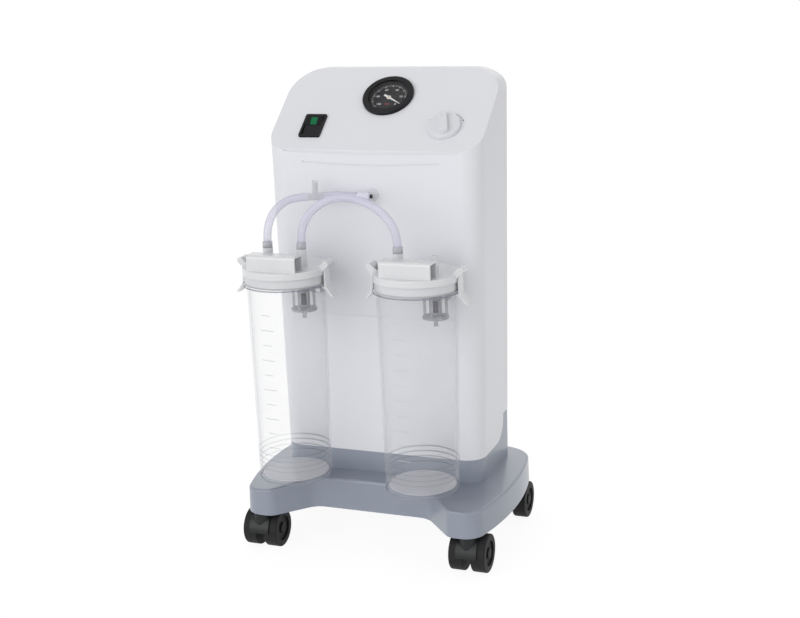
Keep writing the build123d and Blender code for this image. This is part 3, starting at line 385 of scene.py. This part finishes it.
class ASPIRATOR_OT_stage(bpy.types.Operator):
    """Camera, lamps, world and the white floor"""

    bl_idname = "aspirator.stage"
    bl_label = "Stage"

    def execute(self, context):
        scene = context.scene
        scene.view_settings.view_transform = "Standard"
        turn = radians(CAMERA_TURN)
        pitch = radians(CAMERA_PITCH)
        roll = radians(CAMERA_ROLL)
        ahead = Vector((-sin(turn) * cos(pitch), cos(turn) * cos(pitch), -sin(pitch)))
        right = Vector((cos(turn), sin(turn), 0))
        above = right.cross(ahead)
        across = right * cos(roll) + above * sin(roll)
        upward = above * cos(roll) - right * sin(roll)
        lens = bpy.data.cameras.new("camera")
        lens.sensor_width = SENSOR
        lens.lens = SENSOR * FOCAL_PIXELS / PHOTO_WIDTH
        lens.clip_start = 0.05
        camera = bpy.data.objects.new("camera", lens)
        scene.collection.objects.link(camera)
        pose = Matrix((across, upward, -ahead)).transposed().to_4x4()
        pose.translation = Vector(CAMERA_SPOT)
        camera.matrix_world = pose
        scene.camera = camera

        for name, strength, spread, aim in (
            ("key_lamp", 1.8, 65.0, (-0.40, -1.0, 0.20)),
            ("side_lamp", 0.5, 60.0, (1.0, -0.3, 0.35)),
            ("back_lamp", 0.4, 60.0, (-0.2, 0.9, 0.8)),
        ):
            lamp = bpy.data.lights.new(name, "SUN")
            lamp.energy = strength
            lamp.angle = radians(spread)
            bulb = bpy.data.objects.new(name, lamp)
            bulb.rotation_euler = Vector(aim).to_track_quat("Z", "Y").to_euler()
            scene.collection.objects.link(bulb)

        world = bpy.data.worlds.new("studio")
        world.use_nodes = True
        tree = world.node_tree
        tree.nodes.clear()
        path = tree.nodes.new("ShaderNodeLightPath")
        seen = tree.nodes.new("ShaderNodeMath")
        seen.operation = "MAXIMUM"
        through = tree.nodes.new("ShaderNodeMath")
        through.operation = "MAXIMUM"
        tree.links.new(path.outputs["Is Glossy Ray"], through.inputs[0])
        tree.links.new(path.outputs["Is Transmission Ray"], through.inputs[1])
        tree.links.new(path.outputs["Is Camera Ray"], seen.inputs[0])
        tree.links.new(through.outputs[0], seen.inputs[1])
        blend = tree.nodes.new("ShaderNodeMixShader")
        soft = tree.nodes.new("ShaderNodeBackground")
        soft.inputs["Strength"].default_value = 0.46
        white = tree.nodes.new("ShaderNodeBackground")
        white.inputs["Strength"].default_value = 1.0
        for dome in (soft, white):
            dome.inputs["Color"].default_value = (1, 1, 1, 1)
        out = tree.nodes.new("ShaderNodeOutputWorld")
        tree.links.new(seen.outputs[0], blend.inputs[0])
        tree.links.new(soft.outputs[0], blend.inputs[1])
        tree.links.new(white.outputs[0], blend.inputs[2])
        tree.links.new(blend.outputs[0], out.inputs["Surface"])
        scene.world = world

        look = Finish("floor_white")
        ray = look.add("ShaderNodeLightPath")
        for other in ("Is Glossy Ray", "Is Transmission Ray"):
            bounce = look.add("ShaderNodeLightPath", output=other)
            ray = look.add("ShaderNodeMath", {"operation": "MAXIMUM"}, {0: ray, 1: bounce})
        grain = look.noise(3.0)
        diffuse = look.add("ShaderNodeBsdfPrincipled", {}, {
            "Base Color": look.mix(grain, (0.93, 0.93, 0.93, 1), (0.95, 0.95, 0.95, 1)),
            "Roughness": 0.9,
        })
        glow = look.add("ShaderNodeEmission", {}, {"Color": (1, 1, 1, 1), "Strength": 1.07})
        floor_look = look.add("ShaderNodeMixShader", {}, {0: ray * 0.86, 1: diffuse, 2: glow})
        material = look.finish(floor_look)
        mesh = bpy.data.meshes.new("floor")
        shape = bmesh.new()
        bmesh.ops.create_grid(shape, x_segments=8, y_segments=8, size=12.0)
        shape.to_mesh(mesh)
        shape.free()
        floor = bpy.data.objects.new("floor", mesh)
        mesh.materials.append(material)
        scene.collection.objects.link(floor)
        return {"FINISHED"}


class ASPIRATOR_OT_hoses(bpy.types.Operator):
    """The three clear hoses"""

    bl_idname = "aspirator.hoses"
    bl_label = "Hoses"

    def execute(self, context):
        tint = colours().hose
        # The hose colour falls to 0.42 of the tint where seen side on: painted shade.
        clear = clear_plastic("hose_clear", tint, 0.45, 0.75, 0.18, 3.0, 0.42)
        dress(clear, "hose_port_to_tee")
        smooth(("hose_port_to_tee",))
        for name, route in (
            ("hose_tee_to_left_jar", LEFT_ROUTE),
            ("hose_between_jars", BETWEEN_ROUTE),
        ):
            curve = bpy.data.curves.new(name + "_tube", "CURVE")
            curve.dimensions = "3D"
            spline = curve.splines.new("NURBS")
            spline.points.add(len(route) - 1)
            for point, spot in zip(spline.points, route):
                point.co = (*spot, 1.0)
            spline.order_u = 3
            spline.use_endpoint_u = True
            spline.resolution_u = 16
            curve.bevel_depth = sizes().hose_diameter / 2
            curve.bevel_resolution = 6
            curve.materials.append(clear)
            tube = bpy.data.objects.new(name + "_tube", curve)
            context.scene.collection.objects.link(tube)
            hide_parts(name)
            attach(tube, "unit")
        return {"FINISHED"}


class ASPIRATOR_OT_housing(bpy.types.Operator):
    """Housing, rear panel and base tray finishes"""

    bl_idname = "aspirator.housing"
    bl_label = "Housing"

    def execute(self, context):
        white = moulded("housing_white", colours().housing, 0.36, 0.04, 0.015, coat=0.12)
        dress(white, "front_cover", "rear_cover")
        grey = moulded("tray_grey", colours().tray, 0.36, 0.08, 0.06, 1100.0, coat=0.35)
        dress(grey, "base_tray")
        steel = metal("steel_part", (0.62, 0.63, 0.65), 0.3)
        dress(steel, "cover_screws", "bracket_screws", "latch_pins", "chassis_plate")
        bracket = moulded("bracket_grey", (0.42, 0.43, 0.46), 0.4, 0.08, 0.05)
        dress(bracket, "jar_bracket_left", "jar_bracket_right")
        black = moulded("black_inlet", colours().black, 0.35, 0.08, 0.3, shine=0.2)
        dress(black, "mains_inlet", "fuse_caps")
        smooth(("front_cover", "base_tray", "rear_cover"), 30.0)
        smooth(("cover_screws", "bracket_screws", "latch_pins", "jar_bracket_left", "jar_bracket_right",
                "mains_inlet", "fuse_caps", "chassis_plate"))
        return {"FINISHED"}


class ASPIRATOR_OT_panel(bpy.types.Operator):
    """Gauge dial with its print, switch, regulator knob and panel marks"""

    bl_idname = "aspirator.panel"
    bl_label = "Control panel"

    def execute(self, context):
        black = moulded("gauge_black", colours().black, 0.25, 0.03, 0.3, shine=0.18)
        dress(black, "gauge_bezel", "gauge_case", "switch_frame", "switch_rocker")
        print_black = moulded("dial_black", (0.008, 0.008, 0.010), 0.5, 0.03, 0.2, shine=0.1)
        dress(print_black, "gauge_dial")
        paint = moulded("needle_white", (0.82, 0.82, 0.80), 0.4, 0.02, 0.02)
        dress(paint, "gauge_needle")
        dress(clear_plastic("lens_clear", (0.9, 0.9, 0.92), 0.02, 0.2, 0.03, 3.0, 0.8, 0.12), "gauge_lens")
        lamp = Finish("lens_green")
        glow = lamp.noise(60.0)
        green = colours().lamp
        left, right = reach("switch_lens", 0)
        middle = (left + right) / 2
        across = lamp.add("ShaderNodeSeparateXYZ", {}, {0: lamp.place()})
        away = lamp.add("ShaderNodeMath", {"operation": "ABSOLUTE"}, {0: across - middle})
        window = lamp.add("ShaderNodeMath", {"operation": "LESS_THAN"}, {0: away, 1: LENS_HALF_WIDTH})
        shade = lamp.mix(glow, rgba(green), rgba(green, 1.5))
        lit = lamp.add("ShaderNodeBsdfPrincipled", {}, {
            "Base Color": lamp.mix(window, rgba(colours().black), shade),
            "Roughness": 0.2 + glow * 0.1,
            "Specular IOR Level": 0.15,
            "Emission Color": lamp.mix(window, (0.0, 0.0, 0.0, 1.0), shade),
            "Emission Strength": 0.25,
        })
        dress(lamp.finish(lit), "switch_lens")
        knob = moulded("knob_white", (0.72, 0.725, 0.76), 0.32, 0.03, 0.03, coat=0.2)
        turned = nodes["regulator_knob"].copy()
        turned.data = nodes["regulator_knob"].data.copy()
        turned.name = "knob_grip"
        context.scene.collection.objects.link(turned)
        home = nodes["regulator_knob"].matrix_world
        hub = on_panel(KNOB_U, KNOB_V, 0)
        spin = Matrix.Rotation(radians(KNOB_REST), 4, PANEL_OUT)
        swing = Matrix.Translation(hub) @ spin @ Matrix.Translation(-hub)
        turned.data.transform(home.inverted() @ swing @ home)
        turned.data.materials.clear()
        turned.data.materials.append(knob)
        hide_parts("regulator_knob")
        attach(turned, "knob")
        brass = metal("brass_part", (0.60, 0.44, 0.20), 0.32)
        dress(brass, "gauge_movement", "regulator_valve", "regulator_nut", "regulator_spindle")
        plated = metal("port_metal", (0.30, 0.30, 0.32), 0.3)
        dress(plated, "vacuum_port_nut")
        dress(moulded("port_white", (0.70, 0.70, 0.74), 0.35, 0.03, 0.03), "vacuum_port")
        smooth(("gauge_bezel", "gauge_case", "gauge_dial", "gauge_needle", "gauge_lens", "gauge_movement",
                "switch_frame", "switch_rocker", "switch_lens", "regulator_valve",
                "regulator_nut", "regulator_spindle", "vacuum_port", "vacuum_port_nut"))

        face = -0.00295
        depth = PANEL_OUT * 0.00012
        marks = sizes().tick_count

        def spoke(turn, near, far, width):
            ahead = Vector((cos(turn), sin(turn)))
            aside = Vector((-sin(turn), cos(turn))) * width / 2
            ends = (ahead * near + aside, ahead * near - aside, ahead * far - aside, ahead * far + aside)
            return [on_panel(end.x, GAUGE_V + end.y, face + 0.0002) for end in ends]

        def ticks(shape):
            for i in range(marks + 1):
                turn = radians(225 - 270 * i / marks)
                long_mark = i % 5 == 0
                near = TICK_LONG_R if long_mark else TICK_SHORT_R
                width = 0.0007 if long_mark else 0.00035
                slab(shape, spoke(turn, near, TICK_OUTER_R, width), depth)

        mesh_piece("dial_ticks", ticks, paint, "unit")

        def warning_band(shape):
            for i in range(12):
                turns = [radians(252 + 3 * i), radians(252 + 3 * (i + 1))]
                ring = [on_panel(r * cos(turn), GAUGE_V + r * sin(turn), face + 0.00015)
                        for turn, r in ((turns[0], RED_INNER_R), (turns[0], RED_OUTER_R),
                                        (turns[1], RED_OUTER_R), (turns[1], RED_INNER_R))]
                slab(shape, ring[::-1], depth)

        red = moulded("dial_red", (0.20, 0.012, 0.012), 0.5, 0.03, 0.1)
        mesh_piece("dial_band", warning_band, red, "unit")

        tilt = Matrix((Vector((1, 0, 0)), PANEL_UP, PANEL_OUT)).transposed().to_4x4()
        for i, word in enumerate(("0", "20", "40", "60", "80", "100")):
            turn = radians(-45 + 54 * i)
            figure = bpy.data.curves.new("dial_figure", "FONT")
            figure.body = word
            figure.size = 0.0052
            figure.extrude = 0.00005
            figure.align_x = "CENTER"
            figure.align_y = "CENTER"
            figure.materials.append(paint)
            number = bpy.data.objects.new(f"dial_figure_{i}", figure)
            tilt.translation = on_panel(
                FIGURE_R * cos(turn), GAUGE_V + FIGURE_R * sin(turn), face + 0.0002)
            number.matrix_world = tilt.copy()
            context.scene.collection.objects.link(number)
            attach(number, "unit")

        ink = moulded("mark_ink", (0.16, 0.16, 0.18), 0.5, 0.02, 0.1)

        def knob_marks(shape):
            for start, stop in ((35, 68), (112, 145)):
                for i in range(10):
                    a = radians(start + (stop - start) * i / 10)
                    b = radians(start + (stop - start) * (i + 1) / 10)
                    corners = [on_panel(KNOB_U + r * cos(turn), KNOB_V + r * sin(turn), 0.00014)
                               for turn, r in ((a, ARC_INNER_R), (a, ARC_OUTER_R),
                                               (b, ARC_OUTER_R), (b, ARC_INNER_R))]
                    slab(shape, corners[::-1], PANEL_OUT * 0.0001)
            for side in (-1, 1):
                tip_turn = radians(90 - side * 58)
                base = Vector((KNOB_U + 0.0291 * cos(tip_turn), KNOB_V + 0.0291 * sin(tip_turn)))
                along = Vector((sin(tip_turn), -cos(tip_turn))) * side
                out = Vector((cos(tip_turn), sin(tip_turn)))
                spots = (base + along * 0.0034, base + out * 0.0015, base - out * 0.0015)
                loop = [on_panel(spot.x, spot.y, 0.00014) for spot in spots]
                slab(shape, loop if side > 0 else loop[::-1], PANEL_OUT * 0.0001)

        mesh_piece("knob_marks", knob_marks, ink, "unit")
        return {"FINISHED"}


class ASPIRATOR_OT_jars(bpy.types.Operator):
    """Jars with ribs and graduations, seals, cages and floats"""

    bl_idname = "aspirator.jars"
    bl_label = "Jars"

    def execute(self, context):
        # The jar walls fall to half the tint where seen side on: painted shade.
        clear = clear_plastic("jar_clear", colours().jar, 0.035, 0.8, 0.06, 3.5, 0.5)
        dress(clear, "jar_left", "jar_right")
        cage = clear_plastic("cage_clear", (0.70, 0.70, 0.74), 0.22, 0.5, 0.2)
        dress(cage, "float_cage_left", "float_cage_right")
        fitting = clear_plastic("fitting_clear", (0.70, 0.70, 0.74), 0.45, 0.5, 0.16)
        dress(fitting, "tee_fitting")
        dress(clear_plastic("float_clear", (0.62, 0.62, 0.68), 0.22, 0.4, 0.2), "float_left", "float_right")
        core = rubber("float_dark", (0.04, 0.04, 0.045))
        dress(moulded("seal_grey", (0.50, 0.50, 0.52), 0.6, 0.08, 0.05), "lid_seals")
        smooth(("jar_left", "jar_right", "float_cage_left", "float_cage_right", "tee_fitting",
                "float_left", "float_right", "lid_seals"))
        ink = moulded("graduation_ink", (0.50, 0.51, 0.54), 0.5, 0.02, 0.1)
        # Whitish disc on each jar's floor: painted light for the bright floor seen through the clear base.
        base_light = clear_plastic("jar_base_light", (0.80, 0.80, 0.84), 0.42, 0.3, 0.4, 2.0, 0.85)
        # Dark translucent rings at each jar's foot and under its collar: painted shade for the dark
        # outlines of the clear edges.
        edge = clear_plastic("jar_edge_shade", (0.36, 0.37, 0.45), 0.55, 0.35, 0.15)
        step = sizes().graduation_step
        for side, x in (("left", -JAR_X), ("right", JAR_X)):
            def lines(shape, x=x):
                for i in range(1, 12):
                    z = JAR_FOOT + 0.012 + step * i
                    r = jar_radius(z) + 0.00012
                    half = 0.13 if i % 2 else 0.2
                    steps = 8
                    for k in range(steps):
                        a = -pi / 2 - 0.15 - half + 2 * half * k / steps
                        b = a + 2 * half / steps
                        corners = [(x + r * cos(t), JAR_Y + r * sin(t), h)
                                   for t, h in ((a, z), (b, z), (b, z + 0.0007), (a, z + 0.0007))]
                        middle = (a + b) / 2
                        slab(shape, corners, Vector((cos(middle), sin(middle), 0)) * 0.0001)
            mesh_piece(f"jar_lines_{side}", lines, ink, "unit")

            def ribs(shape, x=x):
                for z in (0.152, 0.160, 0.168, 0.176):
                    r = jar_radius(z)
                    lathe(shape, (x, JAR_Y), [(r - 0.0004, z), (r + 0.0005, z + 0.0006),
                                              (r + 0.0005, z + 0.0014), (r - 0.0004, z + 0.002)])
            mesh_piece(f"jar_ribs_{side}", ribs, clear, "unit")

            # Painted light: a whitish disc where the clear base looks bright.
            def base_light_disc(shape, x=x):
                bmesh.ops.create_cone(
                    shape, cap_ends=True, segments=72, radius1=0.0495, radius2=0.0495, depth=0.0012,
                    matrix=Matrix.Translation((x, JAR_Y, JAR_FOOT + 0.0056)))
            mesh_piece(f"jar_base_light_{side}", base_light_disc, base_light, "unit")

            # Painted shade: dark ring round the jar's foot.
            def foot_shade_ring(shape, x=x):
                lathe(shape, (x, JAR_Y), [(0.0522, JAR_FOOT + 0.0002), (0.0536, JAR_FOOT + 0.0002),
                                          (0.0546, JAR_FOOT + 0.002), (0.0541, JAR_FOOT + 0.002)])
            mesh_piece(f"jar_foot_shade_{side}", foot_shade_ring, edge, "unit")

            # Painted shade: dark ring under the collar's lower edge.
            def collar_shade_ring(shape, x=x):
                lathe(shape, (x, JAR_Y), [(0.0631, COLLAR_Z + 0.0001), (0.0637, COLLAR_Z + 0.0001),
                                          (0.0637, COLLAR_Z + 0.0019), (0.0631, COLLAR_Z + 0.0019)])
            mesh_piece(f"collar_edge_shade_{side}", collar_shade_ring, edge, "unit")

            shell = nodes[f"float_{side}"]
            spots = [shell.matrix_world @ Vector(corner) for corner in shell.bound_box]
            centre = sum(spots, Vector()) / 8

            def float_core(shape, centre=centre):
                bmesh.ops.create_cone(
                    shape, cap_ends=True, segments=32, radius1=0.0042, radius2=0.0036, depth=0.016,
                    matrix=Matrix.Translation(centre))
            mesh_piece(f"float_core_{side}", float_core, core, f"bob_{side}")
        return {"FINISHED"}


class ASPIRATOR_OT_lids(bpy.types.Operator):
    """Lids, latches and the sleeves where the hoses meet the ports"""

    bl_idname = "aspirator.lids"
    bl_label = "Lids and latches"

    def execute(self, context):
        white = moulded("lid_white", colours().lid, 0.24, 0.02, 0.02, coat=0.35)
        dress(white, "lid_left", "lid_right")
        clip = moulded("latch_white", colours().lid, 0.28, 0.02, 0.03, coat=0.25)
        dress(clip, "latch_left_a", "latch_left_b", "latch_right_a", "latch_right_b")
        smooth(("lid_left", "lid_right", "latch_left_a", "latch_left_b", "latch_right_a", "latch_right_b"))
        sleeve = clear_plastic("sleeve_clear", (0.68, 0.69, 0.72), 0.5, 0.4, 0.2)
        height = sizes().cuff_height
        radius = sizes().hose_diameter / 2
        for i, x in enumerate((-JAR_X - PORT_X, -JAR_X + PORT_X, JAR_X - PORT_X)):
            def cuff(shape, x=x):
                lathe(shape, (x, JAR_Y), [
                    (radius + 0.0001, PORT_TOP + 0.0001), (radius + 0.0014, PORT_TOP + 0.0001),
                    (radius + 0.0014, PORT_TOP + height - 0.001),
                    (radius + 0.0008, PORT_TOP + height), (radius + 0.0001, PORT_TOP + height),
                ], 48)
            mesh_piece(f"hose_sleeve_{i}", cuff, sleeve, "unit")

        level = Matrix.Rotation(pi / 2, 4, "Y")

        def port_sleeve(shape):
            for start, stop, near, far in (
                (PORT_ARM[0], -0.002, 0.0060, 0.0062), (-0.002, 0.005, 0.0062, 0.0072),
            ):
                spot = Matrix.Translation(((start + stop) / 2, PORT_ARM[1], PORT_ARM[2]))
                bmesh.ops.create_cone(shape, cap_ends=True, segments=48, radius1=near, radius2=far,
                                      depth=stop - start, matrix=spot @ level)

        mesh_piece("port_sleeve", port_sleeve, bpy.data.materials["hose_clear"], "unit")

        def port_plug(shape):
            bmesh.ops.create_cone(
                shape, cap_ends=True, segments=32, radius1=0.0032, radius2=0.0030, depth=0.004,
                matrix=Matrix.Translation((0.0066, PORT_ARM[1], PORT_ARM[2])) @ level)

        dark = moulded("plug_dark", (0.02, 0.02, 0.022), 0.4, 0.03, 0.2, shine=0.2)
        mesh_piece("port_plug", port_plug, dark, "unit")
        return {"FINISHED"}


class ASPIRATOR_OT_casters(bpy.types.Operator):
    """Caster hoods and wheels"""

    bl_idname = "aspirator.casters"
    bl_label = "Casters"

    def execute(self, context):
        hood = moulded("hood_black", (0.012, 0.013, 0.014), 0.36, 0.10, 0.3, shine=0.3)
        tread = rubber("tread_black", (0.012, 0.012, 0.013), 0.2)
        for corner in ("fl", "fr", "rl", "rr"):
            dress(hood, f"caster_hood_{corner}")
            dress(tread, f"caster_wheels_{corner}")
            smooth((f"caster_hood_{corner}", f"caster_wheels_{corner}"))
        return {"FINISHED"}


class ASPIRATOR_OT_pump(bpy.types.Operator):
    """Pump, rotor, mounts and capacitor inside the housing"""

    bl_idname = "aspirator.pump"
    bl_label = "Pump"

    def execute(self, context):
        cast = metal("pump_cast", (0.48, 0.49, 0.50), 0.5, 1.0)
        dress(cast, "pump_body", "pump_heads", "pump_rotor")
        dress(metal("can_steel", (0.60, 0.60, 0.62), 0.3), "capacitor")
        dress(rubber("mount_black", (0.03, 0.03, 0.032)), "rubber_mounts")
        smooth(("pump_body", "pump_heads", "pump_rotor", "capacitor", "rubber_mounts"))
        return {"FINISHED"}


class ASPIRATOR_PT_panel(bpy.types.Panel):
    """Sidebar panel with the sizes, colours and steps"""

    bl_idname = "ASPIRATOR_PT_panel"
    bl_label = "Vacuum aspirator"
    bl_space_type = "VIEW_3D"
    bl_region_type = "UI"
    bl_category = "Aspirator"

    def draw(self, context):
        for group in (sizes(), colours()):
            for name in group.__annotations__:
                self.layout.prop(group, name)
        for step in STEPS:
            self.layout.operator(step.bl_idname)


STEPS = (
    ASPIRATOR_OT_stage, ASPIRATOR_OT_hoses, ASPIRATOR_OT_housing, ASPIRATOR_OT_panel,
    ASPIRATOR_OT_jars, ASPIRATOR_OT_lids, ASPIRATOR_OT_casters, ASPIRATOR_OT_pump,
)
GROUPS = (AspiratorSizes, AspiratorColours)


def register():
    for item in (*GROUPS, *STEPS, ASPIRATOR_PT_panel):
        bpy.utils.register_class(item)
    bpy.types.Scene.aspirator_sizes = PointerProperty(type=AspiratorSizes)
    bpy.types.Scene.aspirator_colours = PointerProperty(type=AspiratorColours)


def unregister():
    del bpy.types.Scene.aspirator_colours
    del bpy.types.Scene.aspirator_sizes
    for item in reversed((*GROUPS, *STEPS, ASPIRATOR_PT_panel)):
        bpy.utils.unregister_class(item)


def main():
    register()
    bpy.ops.aspirator.stage()
    bpy.ops.aspirator.hoses()
    bpy.ops.aspirator.housing()
    bpy.ops.aspirator.panel()
    bpy.ops.aspirator.jars()
    bpy.ops.aspirator.lids()
    bpy.ops.aspirator.casters()
    bpy.ops.aspirator.pump()
    bpy.context.view_layer.update()


if __name__ == "__main__":
    main()
